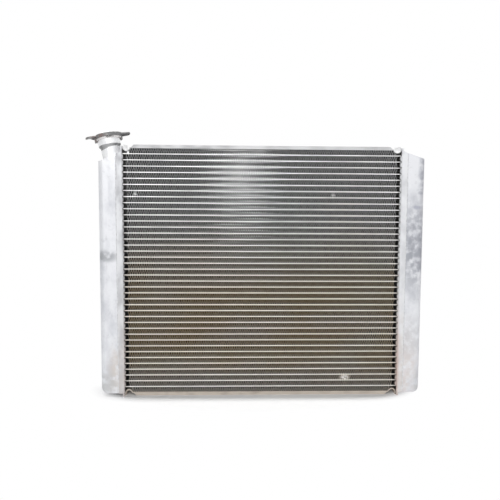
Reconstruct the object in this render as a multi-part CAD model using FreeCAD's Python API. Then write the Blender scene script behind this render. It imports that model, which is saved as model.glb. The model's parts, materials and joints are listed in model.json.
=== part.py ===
import FreeCAD, Part
import math
import os

os.makedirs("parts", exist_ok=True)

# Crossflow engine radiator, upright on its lower edge, front towards -Y, millimetres.
# While it is built, x = 0 and y = 0 are the middle of the core and z = 0 is its lower edge.

# Core: flat tubes lie across the car, with one folded fin strip in each gap.
tube_count = 40
tube_thick = 2.0
tube_depth = 57.0
tube_nose = 0.6
tube_wall = 0.4
tube_end_wall = 1.0
tube_overhang = 1.0
fin_height = 9.5
fin_depth = 55.6
fin_sheet = 0.5
fin_legs = 18
fin_end_gap = 8.0
fin_hump_gap = 16.5
core_width = 528.6

# Side plates: channels that close the core above and below, with a relief hump at each end.
plate_height = 6.5
plate_sheet = 2.0
plate_end_gap = 17.0
hump_radius = 6.5
hump_shoulder = 3.0
hump_drop = 5.5

# Headers: slotted plates with a lip that holds the tank.
header_sheet = 3.0
header_lip = 10.6
header_lip_sheet = 2.0
header_depth = 76.0
header_top_gap = 2.6
slot_gap = 0.05

# End tanks: formed boxes with a sloping top and a rounded lower outer corner.
tank_reach = 45.0
tank_wall = 1.6
tank_fit = 0.1
tank_bottom = 6.0
tank_corner = 14.0
tank_edge = 10.0
left_inner_drop = 12.0
left_outer_drop = 32.5
right_inner_drop = 7.0
right_outer_drop = 22.5

# Filler neck: a throat and a cup on one axis, which leans out and back.
neck_reach = 26.5
neck_drop = 6.2
lean_out = 12.0
lean_back = 11.0
ear_turn = 15.0
throat_radius = 17.5
throat_wall = 1.6
throat_length = 40.0
throat_below = 3.0
cup_radius = 19.4
cup_wall = 1.6
shoulder_slope = 4.0
seat_height = 3.3
cup_depth = 19.1
flange_radius = 24.6
flange_sheet = 1.6
flange_lip = 7.0
notch_width = 15.0

# Overflow nipple on the back of the cup.
nipple_radius = 3.6
nipple_wall = 1.2
nipple_height = 7.7
nipple_length = 22.0
nipple_set_in = 0.3

# Pressure cap.
cap_sheet = 1.2
cap_gap = 0.6
cap_crown_radius = 18.5
cap_crown_rise = 6.1
cap_shoulder_drop = 2.5
skirt_drop = 10.0
ear_reach = 42.5
ear_root_width = 25.0
ear_tip_width = 16.0
ear_thick = 3.2
ear_drop = 3.2
tab_width = 11.0
tab_gap = 0.5
tab_grip = 3.5
seal_gap = 0.3
disc_radius = 23.4
disc_hat = 13.0
disc_sheet = 0.8
stem_radius = 3.0
stem_fit = 0.05
rivet_head_radius = 7.0
rivet_head_height = 1.1
button_radius = 6.0
button_height = 1.5
button_gap = 1.1
seal_inner = 14.9
seal_outer = 18.1
seal_thick = 2.7
valve_radius = 18.4
valve_sheet = 1.2
hub_radius = 6.0
hub_height = 4.5
spring_radius = 10.0
spring_wire = 2.0
spring_turns = 3.5
spring_steps = 10
spring_gap = 0.1

# Hose necks on the backs of the tanks, and the drain low on the right one.
hose_radius = 19.05
hose_wall = 2.0
hose_length = 38.0
hose_inside = 4.0
hose_fit = 0.05
hose_centre = 23.2
bead_height = 2.0
bead_flank = 2.0
bead_crest = 2.0
bead_to_end = 4.0
outlet_height = 54.0
inlet_drop = 54.5
bung_radius = 11.0
bung_bore = 6.5
bung_length = 6.0
bung_height = 36.0
plug_fit = 0.05
plug_flats = 14.0
plug_head = 8.0

# Worked out from the sizes above.
pitch = tube_thick + fin_height
fin_rows = tube_count + 1
core_height = fin_rows * fin_height + tube_count * tube_thick
overall_height = core_height + 2 * plate_height
left_top_inner = overall_height - left_inner_drop
left_top_outer = overall_height - left_outer_drop
right_top_inner = overall_height - right_inner_drop
right_top_outer = overall_height - right_outer_drop
inlet_height = overall_height - inlet_drop
neck_height = overall_height - neck_drop
header_face = core_width / 2
header_back = header_face + header_sheet
tank_side = header_face + tank_reach
tank_half_depth = header_depth / 2 - header_lip_sheet - tank_fit
tank_back = tank_half_depth
rim_height = seat_height + cup_depth
cup_outer = cup_radius + cup_wall
lip_bottom = rim_height - flange_lip
skirt_inner = flange_radius + cap_gap
skirt_outer = skirt_inner + cap_sheet
crown_top = rim_height + cap_crown_rise
crown_under = crown_top - cap_sheet
skirt_bottom = crown_top - skirt_drop
disc_bottom = rim_height + seal_gap
disc_top = disc_bottom + disc_sheet
seal_bottom = seat_height + seal_gap
valve_bottom = seal_bottom + seal_thick
valve_top = valve_bottom + valve_sheet
button_top = valve_bottom - button_gap


def vec(x, y, z):
    return FreeCAD.Vector(x, y, z)


def prism(points, direction):
    """A closed outline of straight edges, pushed along a direction."""
    wire = Part.makePolygon(points + points[:1])
    return Part.Face(wire).extrude(direction)


def turned(outline, axis=vec(0, 0, 1)):
    """A closed outline turned once about a line through the origin."""
    return Part.Face(outline).revolve(vec(0, 0, 0), axis, 360)


def ring(inner, outer, low, high):
    """A flat ring about Z."""
    body = Part.makeCylinder(outer, high - low, vec(0, 0, low))
    return body.cut(Part.makeCylinder(inner, high - low, vec(0, 0, low)))


def centred_box(x0, x1, y0, y1, z0, z1):
    return Part.makeBox(x1 - x0, y1 - y0, z1 - z0, vec(x0, y0, z0))


def row_bottom(row):
    """Height of the underside of a fin row, counted from 0 at the foot."""
    return plate_height + row * pitch


def tube_bottom(number):
    """Height of the underside of a tube, counted from 1 at the foot."""
    return row_bottom(number) - tube_thick


def flat_section(depth, thick, nose, x, z):
    """Outline across a flat tube: flat faces and bevelled noses."""
    y = depth / 2
    h = thick / 2
    return [
        vec(x, -y, z - h + nose),
        vec(x, -y + nose, z - h),
        vec(x, y - nose, z - h),
        vec(x, y, z - h + nose),
        vec(x, y, z + h - nose),
        vec(x, y - nose, z + h),
        vec(x, -y + nose, z + h),
        vec(x, -y, z + h - nose),
    ]


def tube(number):
    """One flat tube, open at both ends, from tank to tank."""
    z = tube_bottom(number) + tube_thick / 2
    end = header_back + tube_overhang
    along = vec(2 * end, 0, 0)
    body = prism(flat_section(tube_depth, tube_thick, tube_nose, -end, z), along)
    half_depth = tube_depth / 2 - tube_end_wall
    half_thick = tube_thick / 2 - tube_wall
    way = centred_box(-end, end, -half_depth, half_depth, z - half_thick, z + half_thick)
    return body.cut(way)


def fin_strip(row):
    """One fin strip: a sheet folded to and fro between the tubes above and below it."""
    beside_plate = row in (0, fin_rows - 1)
    end_gap = fin_hump_gap if beside_plate else fin_end_gap
    length = core_width - 2 * end_gap
    step = length / fin_legs
    rise = math.hypot(step, fin_height) / step * fin_sheet
    low = row_bottom(row)
    high = low + fin_height - rise
    under = []
    for fold in range(fin_legs + 1):
        z = high if fold % 2 else low
        under.append(vec(-length / 2 + fold * step, -fin_depth / 2, z))
    over = [point + vec(0, 0, rise) for point in reversed(under)]
    return prism(under + over, vec(0, fin_depth, 0))


def fins():
    return Part.makeCompound([fin_strip(row) for row in range(fin_rows)])


def hump(sheet_side):
    """Side of the relief hump as edges, seen from -Y, at the left end of the upper plate.

    sheet_side is +1 for the outer face of the sheet and -1 for the face towards the core.
    """
    offset = sheet_side * plate_sheet / 2
    level = overall_height - plate_height + plate_sheet / 2
    big = hump_radius - offset
    small = hump_shoulder + offset
    cx = -header_face + plate_sheet / 2 + hump_radius
    cz = level - hump_drop + hump_radius
    span = hump_radius + hump_shoulder
    fall = hump_drop - span
    ax = cx + math.sqrt(span ** 2 - fall ** 2)
    az = level - hump_shoulder
    tilt = math.atan2(az - cz, ax - cx)
    meet = vec(cx + big * math.cos(tilt), 0, cz + big * math.sin(tilt))
    half = (tilt - math.pi) / 2
    bottom = vec(cx + big * math.cos(half), 0, cz + big * math.sin(half))
    turn = (tilt + math.pi + math.pi / 2) / 2
    crest = vec(ax + small * math.cos(turn), 0, az + small * math.sin(turn))
    top = vec(cx - big, 0, overall_height)
    start = vec(cx - big, 0, cz)
    flat = vec(ax, 0, az + small)
    end = vec(-header_face + plate_end_gap + plate_sheet, 0, az + small)
    return [
        Part.LineSegment(top, start).toShape(),
        Part.Arc(start, bottom, meet).toShape(),
        Part.Arc(meet, crest, flat).toShape(),
        Part.LineSegment(flat, end).toShape(),
    ]


def hump_strip():
    """The bare end of the upper plate: the hump and the tab that climbs the header."""
    outer = hump(1)
    inner = hump(-1)
    top = Part.LineSegment(inner[0].Vertexes[0].Point, outer[0].Vertexes[0].Point).toShape()
    end = Part.LineSegment(outer[3].Vertexes[1].Point, inner[3].Vertexes[1].Point).toShape()
    wire = Part.Wire(Part.__sortEdges__([top] + outer + [end] + inner))
    strip = Part.Face(wire).extrude(vec(0, tube_depth, 0))
    strip.translate(vec(0, -tube_depth / 2, 0))
    return strip


def side_plate_top():
    """The upper channel, open upwards, with a hump strip at both ends."""
    half = header_face - plate_end_gap
    deep = tube_depth / 2
    low = overall_height - plate_height
    channel = centred_box(-half, half, -deep, deep, low, overall_height)
    slant = plate_height - plate_sheet
    inside = prism(
        [
            vec(-half, -deep + plate_sheet, low + plate_sheet),
            vec(half, -deep + plate_sheet, low + plate_sheet),
            vec(half, -deep + plate_sheet, overall_height),
            vec(-half, -deep + plate_sheet, overall_height),
        ],
        vec(0, tube_depth - 2 * plate_sheet, 0),
    )
    channel = channel.cut(inside)
    for side in (-1, 1):
        wedge = prism(
            [
                vec(side * half, -deep, low + plate_sheet),
                vec(side * half, -deep, overall_height),
                vec(side * (half - slant), -deep, overall_height),
            ],
            vec(0, tube_depth, 0),
        )
        channel = channel.cut(wedge)
    left = hump_strip()
    right = left.mirror(vec(0, 0, 0), vec(1, 0, 0))
    return channel.fuse([left, right]).removeSplitter()


def side_plate_bottom():
    return side_plate_top().mirror(vec(0, 0, overall_height / 2), vec(0, 0, 1))


def tank_top_at(reach, top_inner, top_outer):
    """Height of the sloping tank top, a distance out from the header's core face."""
    return top_inner + (top_outer - top_inner) * reach / tank_reach


def tank_outline(top_inner, top_outer, inset):
    """Front outline of a tank as a face, on the right side, inset by a wall."""
    side = tank_side - inset
    low = tank_bottom + inset
    corner = tank_corner - inset
    slope = math.hypot(tank_reach, top_inner - top_outer) / tank_reach
    drop = inset * slope
    near = header_back - inset
    near_top = tank_top_at(near - header_face, top_inner, top_outer) - drop
    side_top = tank_top_at(side - header_face, top_inner, top_outer) - drop
    mid = corner * (1 - math.sqrt(0.5))
    points = [
        vec(near, 0, low),
        vec(side - corner, 0, low),
        vec(side, 0, low + corner),
        vec(side, 0, side_top),
        vec(near, 0, near_top),
    ]
    edges = [
        Part.LineSegment(points[0], points[1]).toShape(),
        Part.Arc(points[1], vec(side - mid, 0, low + mid), points[2]).toShape(),
        Part.LineSegment(points[2], points[3]).toShape(),
        Part.LineSegment(points[3], points[4]).toShape(),
        Part.LineSegment(points[4], points[0]).toShape(),
    ]
    return Part.Face(Part.Wire(edges))


def tank_block(top_inner, top_outer, inset):
    """Solid tank form: the front outline met by a plan with rounded outer edges."""
    half = tank_half_depth - inset
    front = tank_outline(top_inner, top_outer, inset).extrude(vec(0, 2 * half, 0))
    front.translate(vec(0, -half, 0))
    near = header_back - inset
    side = tank_side - inset
    plan = centred_box(near, side, -half, half, 0, overall_height)
    upright = [
        edge
        for edge in plan.Edges
        if min(v.X for v in edge.Vertexes) > side - 0.01 and edge.BoundBox.ZLength > 1
    ]
    return front.common(plan.makeFillet(tank_edge - inset, upright))


def tank(top_inner, top_outer):
    """A tank on the right side, open towards its header."""
    return tank_block(top_inner, top_outer, 0).cut(tank_block(top_inner, top_outer, tank_wall))


def hose_hole(height):
    """The hole that a hose neck needs in the right-hand tank and header lip."""
    return Part.makeCylinder(
        hose_radius + hose_fit, header_depth, vec(header_face + hose_centre, 0, height), vec(0, 1, 0)
    )


def mirrored(shape):
    return shape.mirror(vec(0, 0, 0), vec(1, 0, 0))


def tank_left():
    """The tank with the filler neck above and the outlet low at the back."""
    body = tank(left_top_inner, left_top_outer).cut(hose_hole(outlet_height))
    throat = Part.makeCylinder(throat_radius + hose_fit, throat_length, vec(0, 0, -throat_length))
    return mirrored(body).cut(on_neck(throat))


def tank_right():
    """The tank with the inlet high at the back, and low at the back a welded drain boss."""
    body = tank(right_top_inner, right_top_outer).cut(hose_hole(inlet_height))
    foot = vec(header_face + hose_centre, tank_back - tank_wall, bung_height)
    length = tank_wall + bung_length
    boss = Part.makeCylinder(bung_radius, length, foot, vec(0, 1, 0))
    return body.fuse(boss).cut(Part.makeCylinder(bung_bore, length, foot, vec(0, 1, 0)))


def header(top_inner, top_outer, hose_height):
    """A header on the right side: slotted plate and the two lips that hold the tank."""
    half = header_depth / 2
    plate = centred_box(header_face, header_back, -half, half, 0, overall_height - header_top_gap)
    lip_end = header_face + header_lip
    lips = []
    for y in (-half, half - header_lip_sheet):
        points = [
            vec(header_back, y, tank_bottom),
            vec(lip_end, y, tank_bottom),
            vec(lip_end, y, tank_top_at(header_lip, top_inner, top_outer)),
            vec(header_back, y, tank_top_at(header_sheet, top_inner, top_outer)),
        ]
        lips.append(prism(points, vec(0, header_lip_sheet, 0)))
    body = plate.fuse(lips).removeSplitter()
    slots = []
    for number in range(1, tube_count + 1):
        z = tube_bottom(number) + tube_thick / 2
        y = tube_depth / 2 + slot_gap
        h = tube_thick / 2 + slot_gap
        slots.append(centred_box(header_face, header_back, -y, y, z - h, z + h))
    body = body.cut(Part.makeCompound(slots))
    return body.cut(hose_hole(hose_height))


def header_left():
    return mirrored(header(left_top_inner, left_top_outer, outlet_height))


def header_right():
    return header(right_top_inner, right_top_outer, inlet_height)


def neck_frame():
    """Where the leaning cup stands: at the knee, Z along its axis, X along the cap's ears."""
    out = -math.tan(math.radians(lean_out))
    back = math.tan(math.radians(lean_back))
    axis = vec(out, back, 1).normalize()
    across = vec(1, 0, 0) - axis * axis.x
    lean = FreeCAD.Rotation(across, vec(0, 1, 0), axis, "ZXY")
    turn = FreeCAD.Rotation(vec(0, 0, 1), ear_turn)
    return FreeCAD.Placement(vec(-header_face - neck_reach, 0, neck_height), lean * turn)


def on_neck(shape):
    """Move a shape from the neck's own frame to its place on the left tank."""
    placed = shape.copy()
    placed.Placement = neck_frame().multiply(placed.Placement)
    return placed


def neck_wall():
    """Throat, coned shoulder, cup, sealing flange and turned-down cam lip, from the axis out."""
    throat_end = seat_height - throat_length
    lip_inner = flange_radius - flange_sheet
    throat_bore = throat_radius - throat_wall
    points = [
        vec(throat_bore, 0, throat_end),
        vec(throat_radius, 0, throat_end),
        vec(throat_radius, 0, 0),
        vec(cup_outer, 0, shoulder_slope),
        vec(cup_outer, 0, rim_height - flange_sheet),
        vec(lip_inner, 0, rim_height - flange_sheet),
        vec(lip_inner, 0, lip_bottom),
        vec(flange_radius, 0, lip_bottom),
        vec(flange_radius, 0, rim_height),
        vec(cup_radius, 0, rim_height),
        vec(cup_radius, 0, seat_height),
        vec(throat_bore, 0, seat_height),
    ]
    return turned(Part.makePolygon(points + points[:1]))


def cam_notch(side):
    """The gap in the flange through which a tab of the cap goes in and out."""
    half = notch_width / 2
    notch = centred_box(-half, half, cup_outer, flange_radius + 1, lip_bottom, rim_height)
    return notch if side > 0 else notch.mirror(vec(0, 0, 0), vec(0, 1, 0))


def filler_neck():
    """The neck, its foot trimmed to the slope of the tank's top."""
    cuts = [cam_notch(-1), cam_notch(1)]
    way = vec(0, 0, nipple_height)
    cuts.append(Part.makeCylinder(nipple_radius + hose_fit, cup_outer, way, vec(0, 1, 0)))
    neck = on_neck(neck_wall().cut(cuts))
    inner = tank_top_at(0, left_top_inner, left_top_outer) - tank_wall - throat_below
    outer = tank_top_at(tank_reach, left_top_inner, left_top_outer) - tank_wall - throat_below
    half = header_depth / 2
    below = prism(
        [
            vec(-header_face, -half, inner),
            vec(-tank_side, -half, outer),
            vec(-tank_side, -half, 0),
            vec(-header_face, -half, 0),
        ],
        vec(0, header_depth, 0),
    )
    return neck.cut(below)


def overflow_nipple():
    """A small tube, set into the cup's wall, that leads from between the cap's two seals."""
    start = cup_outer - nipple_set_in
    body = ring(nipple_radius - nipple_wall, nipple_radius, start, start + nipple_length)
    body.rotate(vec(0, 0, 0), vec(1, 0, 0), -90)
    body.translate(vec(0, 0, nipple_height))
    return on_neck(body)


def cap_ear(side):
    """One ear: a tapered wing with its edge folded down, hollow underneath."""
    top = crown_top - ear_drop
    root = skirt_inner + cap_sheet / 2

    def wing(inset, low, high):
        half_root = ear_root_width / 2 - inset
        half_tip = ear_tip_width / 2 - inset
        tip = ear_reach - inset
        points = [
            vec(root - 4, -half_root, low),
            vec(tip - 4, -half_tip - 1.5, low),
            vec(tip, -half_tip + 4, low),
            vec(tip, half_tip - 4, low),
            vec(tip - 4, half_tip + 1.5, low),
            vec(root - 4, half_root, low),
        ]
        return prism(points, vec(0, 0, high - low))

    body = wing(0, top - ear_thick, top).cut(wing(cap_sheet, top - ear_thick, top - cap_sheet))
    body = body.cut(Part.makeCylinder(root, 4 * ear_thick, vec(0, 0, top - 2 * ear_thick)))
    if side < 0:
        body = body.mirror(vec(0, 0, 0), vec(1, 0, 0))
    return body


def cap_tab(side):
    """One locking tab: down from the skirt and hooked in under the neck's cam lip."""
    tab_top = lip_bottom - tab_gap
    hook_bottom = tab_top - cap_sheet
    leg = ring(skirt_inner, skirt_outer, hook_bottom, skirt_bottom)
    hook = ring(skirt_inner - tab_grip + cap_sheet, skirt_outer, hook_bottom, tab_top)
    window = centred_box(0, 2 * skirt_outer, -tab_width / 2, tab_width / 2, hook_bottom, skirt_bottom)
    body = leg.fuse(hook).common(window)
    if side < 0:
        body = body.mirror(vec(0, 0, 0), vec(1, 0, 0))
    return body


def cap_shell():
    """The pressed cap: crown, sloping shoulder, skirt, two ears and two tabs."""
    edge = crown_top - cap_shoulder_drop
    bore = stem_radius + stem_fit
    points = [
        vec(bore, 0, crown_under),
        vec(bore, 0, crown_top),
        vec(cap_crown_radius, 0, crown_top),
        vec(skirt_outer, 0, edge),
        vec(skirt_outer, 0, skirt_bottom),
        vec(skirt_inner, 0, skirt_bottom),
        vec(skirt_inner, 0, edge - cap_sheet),
        vec(cap_crown_radius - cap_sheet / 2, 0, crown_under),
    ]
    body = turned(Part.makePolygon(points + points[:1]))
    extras = [cap_ear(-1), cap_ear(1), cap_tab(-1), cap_tab(1)]
    return on_neck(body.fuse(extras).removeSplitter())


def cap_disc():
    """The hat-shaped steel disc: its brim closes on the neck's rim, its top on the crown."""
    bore = stem_radius + stem_fit
    points = [
        vec(bore, 0, crown_under - disc_sheet),
        vec(disc_hat - disc_sheet, 0, crown_under - disc_sheet),
        vec(disc_hat - disc_sheet, 0, disc_bottom),
        vec(disc_radius, 0, disc_bottom),
        vec(disc_radius, 0, disc_top),
        vec(disc_hat, 0, disc_top),
        vec(disc_hat, 0, crown_under),
        vec(bore, 0, crown_under),
    ]
    return on_neck(turned(Part.makePolygon(points + points[:1])))


def cap_rivet():
    """The rivet that carries the disc, the spring and the valve under the crown."""
    points = [
        vec(0, 0, button_top - button_height),
        vec(button_radius, 0, button_top - button_height),
        vec(button_radius, 0, button_top),
        vec(stem_radius, 0, button_top),
        vec(stem_radius, 0, crown_top),
        vec(rivet_head_radius, 0, crown_top),
        vec(rivet_head_radius - rivet_head_height, 0, crown_top + rivet_head_height),
        vec(0, 0, crown_top + rivet_head_height),
    ]
    return on_neck(turned(Part.makePolygon(points + points[:1])))


def cap_valve():
    """The pressure valve's plate, with a hub that slides on the rivet."""
    bore = stem_radius + stem_fit
    plate = ring(bore, valve_radius, valve_bottom, valve_top)
    hub = ring(bore, hub_radius, valve_top, valve_top + hub_height)
    return on_neck(plate.fuse(hub).removeSplitter())


def cap_seal():
    """The rubber ring under the valve plate, on the seat at the foot of the cup."""
    return on_neck(ring(seal_inner, seal_outer, seal_bottom, valve_bottom))


def cap_spring():
    """The pressure spring, of square wire, between the valve plate and the disc."""
    low = valve_top + spring_gap + spring_wire / 2
    high = disc_bottom - spring_gap - spring_wire / 2
    count = round(spring_turns * spring_steps)
    half = spring_wire / 2
    loops = []
    for step in range(count + 1):
        angle = 2 * math.pi * step / spring_steps
        z = low + (high - low) * step / count
        loop = []
        for r, dz in ((-half, -half), (half, -half), (half, half), (-half, half)):
            reach = spring_radius + r
            loop.append(vec(reach * math.cos(angle), reach * math.sin(angle), z + dz))
        loops.append(loop)
    faces = [Part.Face(Part.makePolygon(loops[0] + loops[0][:1]))]
    faces.append(Part.Face(Part.makePolygon(loops[-1] + loops[-1][:1])))
    for first, last in zip(loops, loops[1:]):
        for side in range(4):
            a, b = first[side], first[(side + 1) % 4]
            c, d = last[(side + 1) % 4], last[side]
            faces.append(Part.Face(Part.makePolygon([a, b, c, a])))
            faces.append(Part.Face(Part.makePolygon([a, c, d, a])))
    body = Part.Solid(Part.Shell(faces))
    if body.Volume < 0:
        body.reverse()
    return on_neck(body)


def hose_neck(height):
    """A beaded hose neck on the back of the right-hand tank."""
    bore = hose_radius - hose_wall
    start = tank_back - tank_wall - hose_inside
    end = tank_back + hose_length
    crest_end = end - bead_to_end - bead_flank
    crest_start = crest_end - bead_crest
    crest = hose_radius + bead_height
    points = [
        vec(bore, start, 0),
        vec(hose_radius, start, 0),
        vec(hose_radius, crest_start - bead_flank, 0),
        vec(crest, crest_start, 0),
        vec(crest, crest_end, 0),
        vec(hose_radius, crest_end + bead_flank, 0),
        vec(hose_radius, end, 0),
        vec(bore, end, 0),
    ]
    body = turned(Part.makePolygon(points + points[:1]), vec(0, 1, 0))
    body.translate(vec(header_face + hose_centre, 0, height))
    return body


def hose_necks():
    """The two necks, which are alike: the outlet on the left tank and the inlet on the right."""
    return Part.makeCompound([mirrored(hose_neck(outlet_height)), hose_neck(inlet_height)])


def drain_plug():
    """A hexagon plug that fills the bung."""
    start = tank_back - tank_wall
    seat = tank_back + bung_length
    shank = Part.makeCylinder(bung_bore - plug_fit, seat - start, vec(0, start, 0), vec(0, 1, 0))
    corner = plug_flats / 2 / math.cos(math.pi / 6)
    points = []
    for side in range(6):
        angle = math.pi / 3 * side
        points.append(vec(corner * math.cos(angle), seat, corner * math.sin(angle)))
    body = shank.fuse(prism(points, vec(0, plug_head, 0)))
    body.translate(vec(header_face + hose_centre, 0, bung_height))
    return body


def all_pieces():
    pieces = {}
    for number in range(1, tube_count + 1):
        pieces["tube_%02d" % number] = tube(number)
    makers = (
        fins, header_left, header_right, side_plate_top, side_plate_bottom, tank_left, tank_right,
        filler_neck, overflow_nipple, hose_necks, drain_plug,
        cap_shell, cap_disc, cap_rivet, cap_spring, cap_valve, cap_seal,
    )
    for maker in makers:
        pieces[maker.__name__] = maker()
    return pieces


def main():
    pieces = all_pieces()
    whole = FreeCAD.BoundBox()
    for shape in pieces.values():
        whole.add(shape.optimalBoundingBox(False, False))
    # The origin goes to the middle of the whole part's box, at its foot.
    shift = vec(-whole.Center.x, -whole.Center.y, -whole.ZMin)
    for name, shape in pieces.items():
        placed = shape.copy()
        placed.translate(shift)
        placed.exportStep("parts/%s.step" % name)
    cup = neck_frame()
    print("size", whole.XLength, whole.YLength, whole.ZLength)
    print("shift", shift.x, shift.y, shift.z)
    print("neck", cup.Base + shift, "axis", cup.Rotation.multVec(vec(0, 0, 1)))


main()
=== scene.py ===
import json
import math
import random

import bmesh
import bpy
from mathutils import Matrix, Vector, noise


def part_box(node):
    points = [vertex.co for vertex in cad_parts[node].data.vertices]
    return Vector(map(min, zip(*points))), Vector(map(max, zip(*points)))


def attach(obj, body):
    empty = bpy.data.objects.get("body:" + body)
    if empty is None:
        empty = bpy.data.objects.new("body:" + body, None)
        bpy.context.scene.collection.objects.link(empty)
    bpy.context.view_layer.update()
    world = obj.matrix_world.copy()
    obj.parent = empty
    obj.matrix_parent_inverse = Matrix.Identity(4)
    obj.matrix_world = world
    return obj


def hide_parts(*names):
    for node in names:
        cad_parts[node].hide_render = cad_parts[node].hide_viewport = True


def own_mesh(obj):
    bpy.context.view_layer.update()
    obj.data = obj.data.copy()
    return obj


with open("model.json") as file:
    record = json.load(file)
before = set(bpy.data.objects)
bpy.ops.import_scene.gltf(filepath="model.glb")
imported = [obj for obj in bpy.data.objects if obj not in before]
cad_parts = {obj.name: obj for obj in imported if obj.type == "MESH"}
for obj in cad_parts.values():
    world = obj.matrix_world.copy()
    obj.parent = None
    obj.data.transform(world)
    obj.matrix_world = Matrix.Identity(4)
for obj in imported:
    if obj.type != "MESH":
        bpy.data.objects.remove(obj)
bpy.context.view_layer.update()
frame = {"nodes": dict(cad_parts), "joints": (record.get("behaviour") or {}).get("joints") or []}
nodes = frame["nodes"]
mm = 0.001

# Where the core and the neck are, read from the frame
plateLow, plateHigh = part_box("side_plate_top")
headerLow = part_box("header_right")[0]
tubeBoxes = [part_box(name) for name in sorted(nodes) if name.startswith("tube_")]
tubeLow, tubeHigh = tubeBoxes[0]
lastRow = len(tubeBoxes)
core = {
    "middle": (plateLow.x + plateHigh.x) / 2,
    "centreY": (tubeLow.y + tubeHigh.y) / 2,
    "front": tubeLow.y,
    "back": tubeHigh.y,
    "half": headerLow.x - (plateLow.x + plateHigh.x) / 2,
    "firstTube": (tubeLow.z + tubeHigh.z) / 2,
    "pitch": tubeBoxes[1][0].z - tubeLow.z,
}
coreHalf = core["half"] / mm
turnJoint = next(joint for joint in frame["joints"] if joint["name"] == "cap_turn")
neckKnee = Vector(turnJoint["pos_m"])
neckAxis = Vector(turnJoint["axis"]).normalized()


def at(x, y, z):  # a place measured in mm from the middle of the core and its foot
    return Vector((core["middle"] + x * mm, core["centreY"] + y * mm, z * mm))


class Wire:  # one output of a node, with sums written as sums
    def __init__(self, bench, socket):
        self.bench = bench
        self.socket = socket

    def sum(self, operation, first, second):
        return self.bench.node("ShaderNodeMath", {"operation": operation}, {0: first, 1: second})

    def __add__(self, other):
        return self.sum("ADD", self, other)

    def __radd__(self, other):
        return self.sum("ADD", other, self)

    def __sub__(self, other):
        return self.sum("SUBTRACT", self, other)

    def __rsub__(self, other):
        return self.sum("SUBTRACT", other, self)

    def __mul__(self, other):
        return self.sum("MULTIPLY", self, other)

    def __rmul__(self, other):
        return self.sum("MULTIPLY", other, self)


class Bench:  # a node tree under construction
    def __init__(self, tree):
        self.tree = tree

    def node(self, kind, settings, sockets, out=0):
        made = self.tree.nodes.new(kind)
        for key, value in settings.items():
            setattr(made, key, value)
        for key, value in sockets.items():
            self.plug(made.inputs[key], value)
        return made if out is None else Wire(self, made.outputs[out])

    def plug(self, socket, value):  # a link from a wire, or a value of the socket's own
        if isinstance(value, Wire):
            self.tree.links.new(value.socket, socket)
        else:
            socket.default_value = value

    def showsWhite(self):  # 1 for what the camera, a reflection or glass sees
        path = self.node("ShaderNodeLightPath", {}, {}, None)
        seen = Wire(self, path.outputs["Is Camera Ray"])
        for name in ("Is Glossy Ray", "Is Transmission Ray"):
            ray = Wire(self, path.outputs[name])
            seen = self.node("ShaderNodeMath", {"operation": "MAXIMUM"}, {0: seen, 1: ray})
        return seen


class Finish(Bench):  # a material under construction
    def __init__(self, name):
        self.material = bpy.data.materials.new(name)
        self.material.use_nodes = True
        super().__init__(self.material.node_tree)
        self.shader = next(n for n in self.tree.nodes if n.type == "BSDF_PRINCIPLED")
        self.place = self.node("ShaderNodeTexCoord", {}, {}, "Object")
        split = self.node("ShaderNodeSeparateXYZ", {}, {0: self.place}, None)
        self.x, self.y, self.z = [Wire(self, socket) for socket in split.outputs]

    def vector(self, operation, first, second=(0, 0, 0), out=0):
        return self.node("ShaderNodeVectorMath", {"operation": operation}, {0: first, 1: second}, out)

    def size(self, value):  # the value without its sign
        return self.node("ShaderNodeMath", {"operation": "ABSOLUTE"}, {0: value})

    def cloud(self, scale, detail=3, stretch=None, rough=0.55):
        where = self.place if stretch is None else self.vector("MULTIPLY", self.place, stretch)
        sockets = {"Vector": where, "Scale": scale, "Detail": detail, "Roughness": rough}
        return self.node("ShaderNodeTexNoise", {}, sockets, "Fac")

    def ease(self, value, low, high):
        settings = {"interpolation_type": "SMOOTHSTEP", "clamp": True}
        return self.node("ShaderNodeMapRange", settings, {"Value": value, "From Min": low, "From Max": high})

    def mix(self, mask, first, second, blend="MIX"):
        sockets = {0: mask, 6: first, 7: second}
        return self.node("ShaderNodeMix", {"data_type": "RGBA", "blend_type": blend}, sockets, 2)

    def spot(self, centre, reach, squash=(1, 1, 1)):  # a soft round mask, 1 at its middle
        away = self.vector("MULTIPLY", self.vector("SUBTRACT", self.place, centre), squash)
        return 1 - self.ease(self.vector("LENGTH", away, out="Value"), reach * 0.25, reach)

    def fromKnee(self):  # the way from the neck's knee, and the height along the neck's axis
        away = self.vector("SUBTRACT", self.place, neckKnee)
        return away, self.vector("DOT_PRODUCT", away, neckAxis, "Value")

    def feed(self, **sockets):
        for name, value in sockets.items():
            self.plug(self.shader.inputs[name.replace("_", " ")], value)

    def bump(self, height, strength, distance):
        sockets = {"Height": height, "Strength": strength, "Distance": distance}
        self.feed(Normal=self.node("ShaderNodeBump", {}, sockets, "Normal"))


def shade(red, green, blue):
    return (red, green, blue, 1)


def about(place, band):  # the two ends of a band that is given from a place
    return place + band[0], place + band[1]


dirt = {"fade": (0.17, 0.37), "foot": 0.45, "footFade": (0.0, 0.09), "even": 0.65}  # heights in metres


def warmDirt(f):  # road dirt that browns the lower half of the core
    height = 1 - f.ease(f.z, *dirt["fade"])
    foot = dirt["foot"] + (1 - dirt["foot"]) * f.ease(f.z, *dirt["footFade"])
    patches = f.ease(f.cloud(7, 2, (1, 0.2, 1.6)), 0.3, 0.62)
    return height * foot * (dirt["even"] + (1 - dirt["even"]) * patches)


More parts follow.
